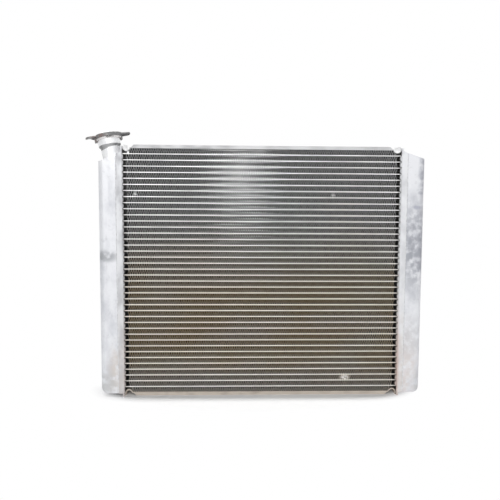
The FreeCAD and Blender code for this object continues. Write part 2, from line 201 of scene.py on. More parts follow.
def makeTubeFinish():  # bright flat tubes, streaked, with painted shade between their front and back noses
    look = {
        "clean": shade(0.95, 0.95, 0.94), "dull": shade(0.72, 0.72, 0.72), "warm": shade(0.84, 0.79, 0.70),
        "grimeAndShade": shade(0.34, 0.29, 0.23), "inside": shade(0.05, 0.05, 0.05), "nose": (0.0266, 0.0278),
    }
    f = Finish("tubeMetal")
    streaks = f.ease(f.cloud(60, 3, (0.35, 1, 3)), 0.35, 0.7)
    colour = f.mix(streaks * 0.6, look["clean"], look["dull"])
    colour = f.mix(warmDirt(f) * 0.8, colour, look["warm"])
    specks = f.ease(f.cloud(420, 2), 0.60, 0.74)
    colour = f.mix(specks * 0.5, colour, look["grimeAndShade"])
    depth = f.size(f.y - core["centreY"])
    # painted shade: the tube is darkened away from its noses, standing in for the shade inside the core
    colour = f.mix(1 - f.ease(depth, *look["nose"]), colour, look["inside"])
    f.feed(Base_Color=colour, Metallic=0.75, Roughness=0.4 + 0.3 * streaks)
    f.bump(f.cloud(900, 2), 0.2, 0.0002)
    return f.material


def makeFinFinish():  # foils painted near black as the shade inside the core, a little lighter near its faces, with worn grey edges and bright solder at the tubes
    look = {
        "clean": shade(0.02, 0.02, 0.02), "deep": shade(0.012, 0.012, 0.012), "near": shade(0.03, 0.03, 0.03),
        "edge": shade(0.33, 0.33, 0.325), "solder": shade(0.87, 0.87, 0.86), "bare": shade(0.85, 0.84, 0.82),
        "warm": shade(0.82, 0.64, 0.41), "face": 0.0278, "nearDepth": (0.001, 0.012),
        "edgeDepth": (0.0001, 0.0004), "solderReach": (0.0012, 0.0036),
    }
    bareSpots = [(163, 34, 0.0085), (-241, 390, 0.0032), (135, 389, 0.004), (179, 318, 0.004)]  # x, z, reach
    f = Finish("finMetal")
    dust = f.ease(f.cloud(38, 4, (1, 0.3, 1)), 0.35, 0.68)
    depth = look["face"] - f.size(f.y - core["centreY"])  # from the nearer face of the core
    # painted shade: the foils are near black for the shade inside the core, darker in dusty patches and a little
    # lighter close to the core's faces
    colour = f.mix(dust * 0.5, look["clean"], look["deep"])
    colour = f.mix(1 - f.ease(depth, *look["nearDepth"]), colour, look["near"])
    sockets = {0: f.z - core["firstTube"], 1: core["pitch"] / 2}
    fromTube = f.node("ShaderNodeMath", {"operation": "PINGPONG"}, sockets)
    edge = f.mix(1 - f.ease(fromTube, *look["solderReach"]), look["edge"], look["solder"])
    colour = f.mix(1 - f.ease(depth, *look["edgeDepth"]), colour, edge)
    colour = f.mix(warmDirt(f) * 0.95, colour, f.mix(1.0, colour, look["warm"], "MULTIPLY"))
    for x, z, reach in bareSpots:
        flat = f.spot(at(x, -look["face"] / mm, z), reach, (0.8, 1, 1.4)) * f.ease(f.cloud(420, 2), 0.40, 0.52)
        colour = f.mix(flat, colour, look["bare"])
    f.feed(Base_Color=colour, Metallic=0.0, Specular_IOR_Level=0.0, Roughness=0.6 + 0.25 * dust)
    louvres = f.node("ShaderNodeTexWave", {"bands_direction": "Y"}, {"Vector": f.place, "Scale": 260}, "Fac")
    f.bump(louvres, 0.5, 0.0004)
    return f.material


def makeTankFinish(name, look):  # satin sheet with broad grey stains, specks and spots of its own, among them a painted highlight and a painted shadow
    f = Finish(name)
    broad = f.cloud(13, 4, (1.6, 1, 0.8), 0.6)
    stains = f.ease(broad, *look["stainBand"])
    fine = f.cloud(120, 4, None, 0.65)
    colour = f.mix(stains * look["stain"], look["clean"], look["stained"])
    colour = f.mix(f.ease(fine, 0.52, 0.78) * 0.35, colour, look["speck"])
    for centre, reach, squash, amount, tone in look["spots"]:
        mask = f.spot(centre, reach, squash) * f.ease(f.cloud(70, 3), 0.28, 0.62)
        colour = f.mix(mask * amount, colour, tone)
    f.feed(Base_Color=colour, Metallic=0.3, Roughness=0.34 + 0.22 * fine + 0.12 * stains)
    f.bump(f.cloud(75, 3) * 0.7 + f.cloud(600, 2) * 0.1, 0.35, 0.0012)
    return f.material


def makePlainFinish(name, first, second, metallic, rough, grain, bump=0.2):
    f = Finish(name)
    worn = f.ease(f.cloud(grain, 4), 0.36, 0.68)
    f.feed(Base_Color=f.mix(worn, first, second), Metallic=metallic, Roughness=rough + 0.2 * worn)
    f.bump(f.cloud(grain * 6, 3), bump, 0.0004)
    return f.material


def makeHeaderFinish():  # grey header plates, paler on the right, brown low down, with painted shade between the tubes inside the core
    look = {
        "clean": shade(0.73, 0.735, 0.75), "stained": shade(0.50, 0.50, 0.52), "rust": shade(0.56, 0.47, 0.41),
        "rim": shade(0.58, 0.40, 0.33), "pale": shade(0.90, 0.905, 0.92), "coreShade": shade(0.05, 0.045, 0.04),
        "rustFade": (0.02, 0.24), "rimFade": (0.05, 0.22), "middleBand": (-0.1, 0.1), "rimBand": (-0.0005, 0.005),
        "innerBand": (0.0002, 0.0012), "frontBand": (-0.006, 0.001), "backBand": (-0.001, 0.006),
    }
    f = Finish("headerMetal")
    patches = f.ease(f.cloud(48, 4, (1, 1, 0.6)), 0.38, 0.66)
    colour = f.mix(patches * 0.65, look["clean"], look["stained"])
    low = (1 - f.ease(f.z, *look["rustFade"])) * f.ease(f.cloud(45, 4), 0.30, 0.62)
    right = f.ease(f.x, *look["middleBand"])
    colour = f.mix(right * 0.4, colour, look["pale"])
    colour = f.mix(low * (0.35 + 0.2 * right), colour, look["rust"])
    side = f.size(f.x - core["middle"])
    rim = 1 - f.ease(side, *about(core["half"], look["rimBand"]))
    rim = rim * (1 - f.ease(f.z, *look["rimFade"])) * (0.3 + 0.7 * right)
    colour = f.mix(rim * 0.6, colour, look["rim"])
    # painted shade on the header's inner face inside the core, away from its front and back
    inner = 1 - f.ease(side, *about(core["half"], look["innerBand"]))
    inside = f.ease(f.y, *about(core["front"], look["frontBand"]))
    inside = inside * (1 - f.ease(f.y, *about(core["back"], look["backBand"])))
    colour = f.mix(inner * inside * 0.95, colour, look["coreShade"])
    f.feed(Base_Color=colour, Metallic=0.3, Roughness=0.42 + 0.25 * patches)
    f.bump(f.cloud(160, 4), 0.4, 0.0006)
    return f.material


def makePlateFinish():  # side plates: grey above with a painted highlight on the humps at its ends, brown below
    look = {
        "upper": shade(0.60, 0.60, 0.605), "hump": shade(0.86, 0.86, 0.86), "upperMark": shade(0.44, 0.44, 0.44),
        "lower": shade(0.66, 0.585, 0.505), "lowerMark": shade(0.42, 0.36, 0.31),
        "humpFrom": (0.248, 0.252), "middleBand": (0.2, 0.3),
    }
    f = Finish("plateMetal")
    side = f.size(f.x - core["middle"])
    upper = f.ease(f.z, *look["middleBand"])
    # painted highlight: the humps at the plate's ends are lighter, as if lit from above
    clean = f.mix(f.ease(side, *look["humpFrom"]), look["upper"], look["hump"])
    clean = f.mix(upper, look["lower"], clean)
    marks = f.ease(f.cloud(70, 4, (0.6, 1, 1)), 0.42, 0.7)
    colour = f.mix(marks * (0.55 - 0.3 * upper), clean, f.mix(upper, look["lowerMark"], look["upperMark"]))
    f.feed(Base_Color=colour, Metallic=0.3, Roughness=0.42 + 0.25 * marks)
    f.bump(f.cloud(260, 3), 0.3, 0.0004)
    return f.material


def makeCapFinish():  # plated steel, painted pale on the crown as lit from above, dark and browned on the skirt and under the ears
    look = {
        "crown": shade(0.90, 0.90, 0.89), "skirt": shade(0.19, 0.19, 0.19), "rust": shade(0.26, 0.17, 0.15),
        "scuff": shade(0.42, 0.41, 0.40), "crownFrom": (0.0244, 0.0254), "leftBand": (-0.012, 0.004),
    }
    f = Finish("capMetal")
    height = f.fromKnee()[1]
    rough = f.cloud(110, 4)
    # painted light: above this height the crown is near white, as lit from above
    up = f.ease(height + (rough - 0.5) * 0.0012, *look["crownFrom"])
    left = 1 - f.ease(f.x, *about(neckKnee.x, look["leftBand"]))
    patches = f.ease(f.cloud(34, 3), 0.42, 0.60) * left
    low = f.mix(patches * 0.9, look["skirt"], look["rust"])
    low = f.mix(f.ease(f.cloud(190, 4), 0.52, 0.72) * 0.6, low, look["scuff"])
    colour = f.mix(up, low, f.mix(f.ease(rough, 0.5, 0.72) * 0.5, look["crown"], look["scuff"]))
    f.feed(Base_Color=colour, Metallic=0.45, Roughness=0.36 + 0.3 * rough)
    f.bump(f.cloud(500, 3), 0.25, 0.0003)
    return f.material


def makeNeckFinish():  # bright turned metal with painted shade under the shoulder of the cup
    look = {
        "clean": shade(0.96, 0.96, 0.965), "dull": shade(0.80, 0.80, 0.81), "grimeAndShade": shade(0.25, 0.25, 0.25),
        "tint": shade(0.80, 0.76, 0.74), "nearKnee": (0.030, 0.036), "shoulderFrom": (-0.0006, 0.0008),
        "shoulderTo": (0.0040, 0.0050), "shoulderDrop": 0.0042, "lipFrom": (0.0140, 0.0156),
        "leftBand": (-0.015, 0.015),
    }
    f = Finish("neckMetal")
    away, height = f.fromKnee()
    rough = f.cloud(90, 4)
    colour = f.mix(f.ease(rough, 0.4, 0.7) * 0.45, look["clean"], look["dull"])
    near = 1 - f.ease(f.vector("LENGTH", away, out="Value"), *look["nearKnee"])
    left = 1 - f.ease(f.x, *about(neckKnee.x, look["leftBand"]))
    # painted shade: the underside of the cup's shoulder is darkened, thicker on the left, standing in for the shade
    # under it
    shoulder = f.ease(height + look["shoulderDrop"] * left, *look["shoulderFrom"])
    shoulder = shoulder * (1 - f.ease(height, *look["shoulderTo"])) * near
    colour = f.mix(shoulder * (0.75 + 0.25 * f.ease(f.cloud(60, 2), 0.4, 0.6)), colour, look["grimeAndShade"])
    colour = f.mix(f.ease(height, *look["lipFrom"]) * near * 0.6, colour, look["tint"])
    f.feed(Base_Color=colour, Metallic=0.4, Roughness=0.32 + 0.25 * rough)
    f.bump(f.cloud(300, 3), 0.2, 0.0003)
    return f.material


# Tanks: a spot has a place, a reach in metres, a squash, an amount and a tone
tankLook = {
    "clean": shade(0.81, 0.815, 0.84), "stained": shade(0.56, 0.57, 0.61), "speck": shade(0.50, 0.50, 0.52),
    "stainBand": (0.47, 0.66), "stain": 0.6,
}
leftLook = dict(tankLook, spots=[
    (at(-297, -36, 272), 0.034, (1, 1, 2.0), 1.0, shade(0.42, 0.43, 0.45)),
    # painted highlight: the top of the left tank near the neck is turned near white, as lit from above
    (at(-286, -36, 474), 0.060, (1, 1, 1.2), 0.9, shade(0.95, 0.95, 0.96)),
    (at(-274, -36, 45), 0.080, (2.6, 1, 1), 0.75, shade(0.62, 0.56, 0.51)),
    (at(-303, -36, 18), 0.045, (1, 1, 1), 0.75, shade(0.52, 0.52, 0.52)),
])
rightLook = dict(tankLook, spots=[
    (at(296, -36, 292), 0.130, (3.0, 1, 1), 1.0, shade(0.37, 0.38, 0.42)),
    (at(305, -36, 432), 0.060, (5.0, 1, 1), 0.9, shade(0.42, 0.43, 0.48)),
    (at(302, -36, 396), 0.007, (1, 1, 1.4), 0.9, shade(0.36, 0.37, 0.42)),
    (at(294, -36, 368), 0.016, (1, 1, 3.2), 0.9, shade(0.42, 0.43, 0.50)),
    # painted shadow: the dark facet of the crease at the right tank's lower outer corner
    (at(306, -36, 22), 0.022, (1.8, 1, 0.8), 0.9, shade(0.56, 0.57, 0.58)),
    (at(278, -36, 60), 0.110, (3.0, 1, 1), 0.6, shade(0.62, 0.54, 0.50)),
    (at(290, -36, 120), 0.060, (1.5, 1, 1), 0.6, shade(0.58, 0.58, 0.60)),
])
finishes = {
    "tube": makeTubeFinish(),
    "fin": makeFinFinish(),
    "leftTank": makeTankFinish("leftTankMetal", leftLook),
    "rightTank": makeTankFinish("rightTankMetal", rightLook),
    "header": makeHeaderFinish(),
    "plate": makePlateFinish(),
    "neck": makeNeckFinish(),
    "weld": makePlainFinish("weldMetal", shade(0.82, 0.82, 0.83), shade(0.62, 0.62, 0.63), 0.4, 0.4, 180, 0.4),
    "cap": makeCapFinish(),
    "rivet": makePlainFinish("rivetMetal", shade(0.66, 0.66, 0.66), shade(0.45, 0.44, 0.42), 0.7, 0.35, 200),
    "spring": makePlainFinish("springSteel", shade(0.55, 0.55, 0.56), shade(0.38, 0.37, 0.36), 0.85, 0.28, 160),
    "valve": makePlainFinish("valveMetal", shade(0.60, 0.58, 0.52), shade(0.42, 0.40, 0.36), 0.8, 0.32, 150),
    "plug": makePlainFinish("plugBrass", shade(0.62, 0.50, 0.27), shade(0.40, 0.32, 0.18), 0.8, 0.4, 150),
    "rubber": makePlainFinish("sealRubber", shade(0.025, 0.025, 0.025), shade(0.06, 0.055, 0.05), 0.0, 0.6, 140),
}
print("finishes made:", len(finishes))

nodeFinishes = {
    "fins": "fin", "header_left": "header", "header_right": "header", "side_plate_top": "plate",
    "side_plate_bottom": "plate", "tank_left": "leftTank", "tank_right": "rightTank", "filler_neck": "neck",
    "overflow_nipple": "neck", "hose_necks": "neck", "drain_plug": "plug", "cap_shell": "cap",
    "cap_disc": "spring", "cap_rivet": "rivet", "cap_spring": "spring", "cap_valve": "valve", "cap_seal": "rubber",
}
for nodeName, node in nodes.items():
    finishName = "tube" if nodeName.startswith("tube_") else nodeFinishes[nodeName]
    node.data.materials.clear()
    node.data.materials.append(finishes[finishName])
print("frame dressed:", len(nodes), "nodes")

# Camera: place in mm from the core's middle, turns in degrees
view = {
    "place": (-41.26, -1493.75, 435.98), "yaw": 2.590, "pitch": 6.109, "roll": -0.457,
    "lens": 55.32, "sensor": 36, "shiftX": -0.0506, "shiftY": 0.0057,
}


def makeCamera():
    data = bpy.data.cameras.new("camera")
    data.lens = view["lens"]
    data.sensor_width = view["sensor"]
    data.shift_x = view["shiftX"]
    data.shift_y = view["shiftY"]
    camera = bpy.data.objects.new("camera", data)
    bpy.context.scene.collection.objects.link(camera)
    turn = Matrix.Rotation(math.radians(-view["yaw"]), 4, "Z")
    turn = turn @ Matrix.Rotation(math.radians(90 - view["pitch"]), 4, "X")
    turn = turn @ Matrix.Rotation(math.radians(-view["roll"]), 4, "Z")
    camera.matrix_world = Matrix.Translation(at(*view["place"])) @ turn
    bpy.context.scene.camera = camera


# Studio: the floor turns plain white between the two distances of floorFade
studio = {
    "sky": (0.93, 0.96, 1.0, 1), "skyStrength": 0.28, "aim": (0, 0, 240),
    "floorColour": shade(0.99, 0.99, 0.99), "floorSquash": 0.50, "floorFade": (0.135, 0.165),
    "floorX": (-0.95, 0.95), "floorY": (-0.75, 0.7),
    "lamps": [  # name, place, width, height, power, points straight down
        ("keyLamp", (-0.3, -2.4, 1.0), 1.4, 1.4, 21, False),
        ("fillLamp", (1.3, -2.1, 0.8), 1.2, 1.2, 4, False),
        ("topLamp", (0.0, 0.07, 2.3), 3.0, 0.12, 40, True),
    ],
}


def makeWorld():
    world = bpy.data.worlds.new("world")
    bpy.context.scene.world = world
    world.use_nodes = True
    world.node_tree.nodes.clear()
    bench = Bench(world.node_tree)
    sky = bench.node("ShaderNodeBackground", {}, {"Color": studio["sky"], "Strength": studio["skyStrength"]})
    white = bench.node("ShaderNodeBackground", {}, {"Color": shade(1, 1, 1), "Strength": 1.0})
    both = bench.node("ShaderNodeMixShader", {}, {0: bench.showsWhite(), 1: sky, 2: white})
    bench.node("ShaderNodeOutputWorld", {}, {0: both}, None)


def makeFloor():
    f = Finish("floorPaper")
    f.feed(Base_Color=studio["floorColour"], Roughness=0.9, Specular_IOR_Level=0.0)
    squashed = f.vector("MULTIPLY", f.place, (studio["floorSquash"], 1, 0))
    far = f.ease(f.vector("LENGTH", squashed, out="Value"), *studio["floorFade"])
    paper = Wire(f, f.shader.outputs[0])
    white = f.node("ShaderNodeEmission", {}, {})
    both = f.node("ShaderNodeMixShader", {}, {0: f.showsWhite() * far, 1: paper, 2: white})
    output = next(n for n in f.tree.nodes if n.type == "OUTPUT_MATERIAL")
    f.plug(output.inputs["Surface"], both)
    left, right = studio["floorX"]
    front, back = studio["floorY"]
    corners = [(left, front, 0), (right, front, 0), (right, back, 0), (left, back, 0)]
    mesh = bpy.data.meshes.new("floor")
    mesh.from_pydata(corners, [], [(0, 1, 2, 3)])
    mesh.materials.append(f.material)
    floor = bpy.data.objects.new("floor", mesh)
    bpy.context.scene.collection.objects.link(floor)


def makeLamps():
    target = at(*studio["aim"])
    for name, place, width, height, power, down in studio["lamps"]:
        data = bpy.data.lights.new(name, "AREA")
        data.shape = "RECTANGLE"
        data.size = width
        data.size_y = height
        data.energy = power
        lamp = bpy.data.objects.new(name, data)
        bpy.context.scene.collection.objects.link(lamp)
        lamp.location = place
        if not down:  # a lamp that isn't turned points straight down
            lamp.rotation_euler = (target - Vector(place)).to_track_quat("-Z", "Y").to_euler()


bpy.context.scene.view_settings.view_transform = "Standard"
makeCamera()
makeWorld()
makeFloor()
makeLamps()
print("camera, light and floor made")


def settle(work, mesh, sharpAngle):  # turns the faces outwards, smooths all but sharp edges, fills the mesh
    bmesh.ops.recalc_face_normals(work, faces=work.faces)
    if sharpAngle is not None:
        for face in work.faces:
            face.smooth = True
        limit = math.radians(sharpAngle)
        for edge in work.edges:
            edge.smooth = len(edge.link_faces) == 2 and edge.calc_face_angle(0) < limit
    work.to_mesh(mesh)
    work.free()


def showPiece(name, mesh):
    piece = bpy.data.objects.new(name, mesh)
    bpy.context.scene.collection.objects.link(piece)
    return piece


def makePiece(name, points, faces, finish, sharpAngle=None):
    mesh = bpy.data.meshes.new(name)
    mesh.from_pydata([tuple(point) for point in points], [], faces)
    mesh.materials.append(finishes[finish])
    work = bmesh.new()
    work.from_mesh(mesh)
    settle(work, mesh, sharpAngle)
    return showPiece(name, mesh)


def ringFaces(rings, closedPath=False):  # skins equal closed rings of points, and caps an open path
    count = len(rings[0])
    points = [point for ring in rings for point in ring]
    faces = []
    for step in range(len(rings) if closedPath else len(rings) - 1):
        first = step * count
        second = ((step + 1) % len(rings)) * count
        for side in range(count):
            after = (side + 1) % count
            faces.append((first + side, first + after, second + after, second + side))
    if not closedPath:
        last = (len(rings) - 1) * count
        faces.append(tuple(reversed(range(count))))
        faces.append(tuple(range(last, last + count)))
    return points, faces


# Fins: one folded foil in each row, with hemmed edges, bowed half way through the core; sizes in mm
finPack = {
    "waves": 116, "edge": 0.36, "foil": 0.08, "hem": 0.6, "depth": 55.6, "bow": 1.4, "endGap": 7.9,
    "humpGap": 12.5, "offset": 0.3, "stray": 0.10, "slant": 0.2, "tip": 0.8, "outerTip": 0.4, "seed": 41,
    "bowScatter": (0.8, 1.1),
}
# Knocked places on the front of the fins: x, z, reach, how much the edges spread, sideways bend, flatness
finKnocks = [
    (163, 34, 12, 0.6, 1.2, 1), (135, 389, 5, 0.4, 1.0, 1), (179, 318, 4, 0.4, 1.0, 1),
    (-241, 390, 4.5, 0.5, 1.0, 1), (-8, 470, 19, 0.3, 0.8, 3),
]


def knock(x, z):
    spread, bend = 0.0, 0.0
    for knockX, knockZ, reach, wide, side, flat in finKnocks:
        away = math.hypot(x - knockX, (z - knockZ) * flat) / reach
        if away < 1:
            spread = max(spread, wide * (1 - away ** 3))
            bend = max(bend, side * (1 - away ** 3))
    return spread, bend


def finRow(row, low, high, points, faces, rand):
    outer = row in (0, lastRow)
    half = coreHalf - finPack["humpGap" if outer else "endGap"]
    step = half / finPack["waves"]
    lean = step / math.hypot(step, high - low)
    deep = finPack["depth"] / 2
    bow = finPack["bow"] * rand.choice((-1, 1)) * rand.uniform(*finPack["bowScatter"])
    stations = [
        (-deep, finPack["edge"], 0), (-deep + finPack["hem"], finPack["foil"], 0), (0, finPack["foil"], bow),
        (deep - finPack["hem"], finPack["foil"], 0), (deep, finPack["edge"], 0),
    ]
    offset = rand.uniform(-finPack["offset"], finPack["offset"])
    tip = finPack["outerTip" if outer else "tip"]  # how far a fold's tip sinks into the solder on the tube
    start = len(points)
    folds = 2 * finPack["waves"] + 1
    for fold in range(folds):
        x = -half + fold * step + offset + rand.uniform(-1, 1) * finPack["stray"]
        upper = (fold + row) % 2 == 1
        slant = rand.uniform(-1, 1) * finPack["slant"]
        spread, bend = knock(x, (low + high) / 2)
        ring = []
        for place, (y, thick, shift) in enumerate(stations):
            rise = (thick + spread * (place == 0)) / lean
            z = high + tip - rise if upper else low - tip + rise
            if place == 0:
                shift += bend * rand.uniform(-1, 1)
            if place > 2:  # behind the bow
                shift += slant
            ring.append((x + shift, y, z, rise))
        points += [at(px, py, pz + rise) for px, py, pz, rise in ring]
        points += [at(px, py, pz - rise) for px, py, pz, rise in reversed(ring)]
    around = 2 * len(stations)
    for fold in range(folds - 1):
        here = start + fold * around
        after = here + around
        for side in range(around):
            along = (side + 1) % around
            faces.append((here + side, here + along, after + along, after + side))
    last = start + (folds - 1) * around
    faces.append(tuple(reversed(range(start, start + around))))
    faces.append(tuple(range(last, last + around)))


def makeFins():
    rand = random.Random(finPack["seed"])
    points, faces = [], []
    height = (tubeBoxes[1][0].z - tubeHigh.z) / mm
    for row in range(lastRow + 1):
        low = tubeBoxes[row - 1][1].z / mm if row else tubeLow.z / mm - height
        finRow(row, low, low + height, points, faces, rand)
    piece = makePiece("finFoils", points, faces, "fin")
    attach(piece, "radiator")
    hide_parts("fins")
    print("fins:", len(faces), "faces")


makeFins()

# Header ridges: the plate domes towards the core between the tubes; sizes in mm
ridge = {
    "bulge": {-1: 2.1, 1: 2.6}, "halfDepth": 34.5, "stepsUp": 8, "edge": 4.5, "clear": 0.15, "sunk": 0.4,
    "behind": 0.6, "least": 0.4, "round": 0.4, "seed": 5, "scatter": (0.85, 1.1), "sharpAngle": 40,
    "stations": (-1, -0.97, -0.9, -0.5, 0, 0.5, 0.9, 0.97, 1),
}


def makeRidges(side, name):
    r = ridge
    stations, stepsUp, halfDepth = r["stations"], r["stepsUp"], r["halfDepth"]
    across = stepsUp + 1
    points, faces = [], []
    rand = random.Random(r["seed"] + side)
    for lower, upper in zip(tubeBoxes, tubeBoxes[1:]):
        low = lower[1].z / mm + r["clear"]
        high = upper[0].z / mm - r["clear"]
        bulge = r["bulge"][side] * rand.uniform(*r["scatter"])
        base = len(points)
        for station in stations:
            y = station * halfDepth
            reach = min(1.0, (halfDepth - abs(y)) / r["edge"])
            swell = math.sqrt(max(0.0, 1 - (1 - reach) ** 2))
            for step in range(across):
                t = step / stepsUp
                dome = math.sin(math.pi * t) ** r["round"] if 0 < t < 1 else 0.0
                rise = r["least"] + (1 - r["least"]) * dome
                x = side * (coreHalf + r["sunk"] - (bulge + r["sunk"]) * rise * swell)
                points.append(at(x, y, low + (high - low) * t))
        back = len(points)
        for station in stations:
            for z in (low, high):
                points.append(at(side * (coreHalf + r["behind"]), station * halfDepth, z))
        for station in range(len(stations) - 1):
            front = base + station * across
            for step in range(stepsUp):
                here = front + step
                faces.append((here, here + 1, here + across + 1, here + across))
            rear = back + station * 2
            top = front + stepsUp
            faces.append((rear, rear + 2, rear + 3, rear + 1))
            faces.append((front, front + across, rear + 2, rear))
            faces.append((top, rear + 1, rear + 3, top + across))
        lastBase = base + (len(stations) - 1) * across
        lastBack = back + (len(stations) - 1) * 2
        faces.append((back, *range(base, base + across), back + 1))
        faces.append((lastBack + 1, *reversed(range(lastBase, lastBase + across)), lastBack))
    piece = makePiece(name, points, faces, "header", r["sharpAngle"])
    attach(piece, "radiator")


makeRidges(-1, "headerRidgesLeft")
makeRidges(1, "headerRidgesRight")
print("header ridges made")

# Weld beads: overlapping ripples along a line; sizes in mm
bead = {
    "sides": 7, "ripple": 0.9, "wave": 0.16, "waveTurn": 2.1, "stray": 0.10, "seed": 17, "sharpAngle": 60,
    "seamX": 10.9, "seamY": 36.4, "seamFoot": 8, "seamRadius": 1.2, "backY": 36.2, "hoseX": 23.2,
    "seams": [(-1, "Left", 461), (1, "Right", 469)],  # side, name, top
    "rounds": [  # name, side, height, radius of the ring, radius of the bead
        ("outletWeld", -1, 54, 19.6, 1.6), ("inletWeld", 1, 428, 19.6, 1.6), ("drainWeld", 1, 36, 11.3, 1.3),
    ],
}


def makeBead(name, path, radius, closed):
    rand = random.Random(bead["seed"] + len(name))
    rings = []
    count = len(path)
    for place, here in enumerate(path):
        before = path[(place - 1) % count] if closed or place else here
        after = path[(place + 1) % count] if closed or place < count - 1 else here
        along = (after - before).normalized()
        side = along.orthogonal().normalized()
        up = along.cross(side)
        wave = bead["wave"] * math.sin(place * bead["waveTurn"])
        swell = radius * (1 + wave + rand.uniform(-bead["stray"], bead["stray"]))
        ring = []
        for corner in range(bead["sides"]):
            angle = 2 * math.pi * corner / bead["sides"]
            ring.append(here + (side * math.cos(angle) + up * math.sin(angle)) * swell * mm)
        rings.append(ring)
    points, faces = ringFaces(rings, closed)
    piece = makePiece(name, points, faces, "weld", bead["sharpAngle"])
    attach(piece, "radiator")


def straightBead(name, start, end, radius):
    length = (end - start).length / mm
    steps = max(2, int(length / bead["ripple"]))
    makeBead(name, [start.lerp(end, step / steps) for step in range(steps + 1)], radius, False)


def roundBead(name, centre, axis, ringRadius, radius):
    axis = axis.normalized()
    side = axis.orthogonal().normalized()
    up = axis.cross(side)
    steps = int(2 * math.pi * ringRadius / bead["ripple"])
    path = []
    for step in range(steps):
        angle = 2 * math.pi * step / steps
        path.append(centre + (side * math.cos(angle) + up * math.sin(angle)) * ringRadius * mm)
    makeBead(name, path, radius, True)


for side, sideName, top in bead["seams"]:
    x, y, foot = side * (coreHalf + bead["seamX"]), bead["seamY"], bead["seamFoot"]
    straightBead("seamFront" + sideName, at(x, -y, foot), at(x, -y, top), bead["seamRadius"])
    straightBead("seamBack" + sideName, at(x, y, foot), at(x, y, top), bead["seamRadius"])
for name, side, height, ringRadius, radius in bead["rounds"]:
    centre = at(side * (coreHalf + bead["hoseX"]), bead["backY"], height)
    roundBead(name, centre, Vector((0, 1, 0)), ringRadius, radius)
print("weld beads made")

# Tank shells: the tanks' own forms, cut finer, gently dented inwards and creased at the outer edge; sizes in mm
sheetWear = {
    "cell": 9.6, "cuts": 6, "dent": 0.55, "seed": 3.0, "endFade": 12, "creaseFade": 8, "sharpAngle": 38,
    "broad": (16, 13), "small": (45, 38), "shares": (0.5, 0.38, 0.12),  # even, broad and small part of a dent
    "creases": {  # from x, to x, top, depth
        "tank_left": (-296, -309.3, 24, 1.5), "tank_right": (296.5, 309.3, 56, 1.6),
    },
}


def cutFiner(work, cell):
    bmesh.ops.remove_doubles(work, verts=work.verts, dist=1e-6)
    bmesh.ops.triangulate(work, faces=work.faces)
    for turn in range(sheetWear["cuts"]):
        longOnes = [edge for edge in work.edges if edge.calc_length() > cell]
        if not longOnes:
            break
        bmesh.ops.subdivide_edges(work, edges=longOnes, cuts=1)
        bmesh.ops.triangulate(work, faces=[face for face in work.faces if len(face.verts) > 3])


def lumps(where, scale, seed):
    return noise.noise(Vector((where.x * scale[0], where.z * scale[1], seed)))


def dentedSheet(name, node, finish):
    s = sheetWear
    work = bmesh.new()
    work.from_mesh(nodes[node].data)
    cutFiner(work, s["cell"] * mm)
    low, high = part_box(node)
    middle = (low + high) / 2
    half = (high - low) / 2
    inner, outer, top, deep = s["creases"][node]
    evenShare, broadShare, smallShare = s["shares"]
    for vert in work.verts:
        where = vert.co
        wave = lumps(where, s["broad"], s["seed"])
        small = lumps(where, s["small"], s["seed"] + 9)
        shrink = s["dent"] * mm * (evenShare + broadShare * wave + smallShare * small)
        slope = ((where.x - core["middle"]) / mm - inner) / (outer - inner)
        below = (top - where.z / mm) / s["creaseFade"] + 0.5
        shrink += deep * mm * min(1.0, max(0.0, slope)) * min(1.0, max(0.0, below))
        away = (where.y - middle.y) / half.y
        ends = min(1.0, (where.z - low.z) / (s["endFade"] * mm), (high.z - where.z) / (s["endFade"] * mm))
        where.y -= away ** 3 * shrink * max(0.0, ends)
    mesh = bpy.data.meshes.new(name)
    settle(work, mesh, s["sharpAngle"])
    mesh.validate()  # drops the few doubled faces of the finer cut
    mesh.materials.append(finishes[finish])
    piece = showPiece(name, mesh)
    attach(piece, "radiator")
    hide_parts(node)
    print(name, len(mesh.polygons), "faces")


dentedSheet("leftTankShell", "tank_left", "leftTank")
dentedSheet("rightTankShell", "tank_right", "rightTank")

# Filler neck: throat, coned shoulder, cup, flange with two cam notches; sizes in mm
neckShape = {
    "earTurn": 15.0, "throat": 17.5, "bore": 15.9, "cup": 21.0, "cupBore": 19.4, "seat": 3.3, "rim": 22.4,
    "flange": 24.6, "lip": 15.4, "sheet": 1.6, "notch": 7.4, "foot": -34, "sunk": 4.4, "steps": 120,
    "tankTop": (470.5, 450.0), "tankReach": 45.0, "weldSteps": 110, "weld": 1.8, "weldRise": 0.4,
    "nippleReach": 21.2, "nippleHeight": 7.7, "nippleRadius": 3.9, "nippleWeld": 0.8, "cutBelow": -8,
    "sharpAngle": 42,
}


def makeNeckMatrix():  # origin at the knee, Z along the neck, X along the cap's ears
    across = (Vector((1, 0, 0)) - neckAxis * neckAxis.x).normalized()
    across = Matrix.Rotation(math.radians(neckShape["earTurn"]), 3, neckAxis) @ across
    turn = Matrix((across, neckAxis.cross(across), neckAxis)).transposed().to_4x4()
    return Matrix.Translation(neckKnee) @ turn


neckMatrix = makeNeckMatrix()


def onNeck(x, y, z):
    return neckMatrix @ (Vector((x, y, z)) * mm)


def aroundNeck(radius, angle, height=0):
    return onNeck(radius * math.cos(angle), radius * math.sin(angle), height)


def lathe(name, profile, finish, body, steps, reshape=None):
    rings = []
    for step in range(steps):
        angle = 2 * math.pi * step / steps
        ring = []
        for radius, height in profile:
            if reshape:
                radius, height = reshape(radius, height, angle)
            ring.append(aroundNeck(radius, angle, height))
        rings.append(ring)
    points, faces = ringFaces(rings, True)
    piece = makePiece(name, points, faces, finish, neckShape["sharpAngle"])
    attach(piece, body)
    return piece


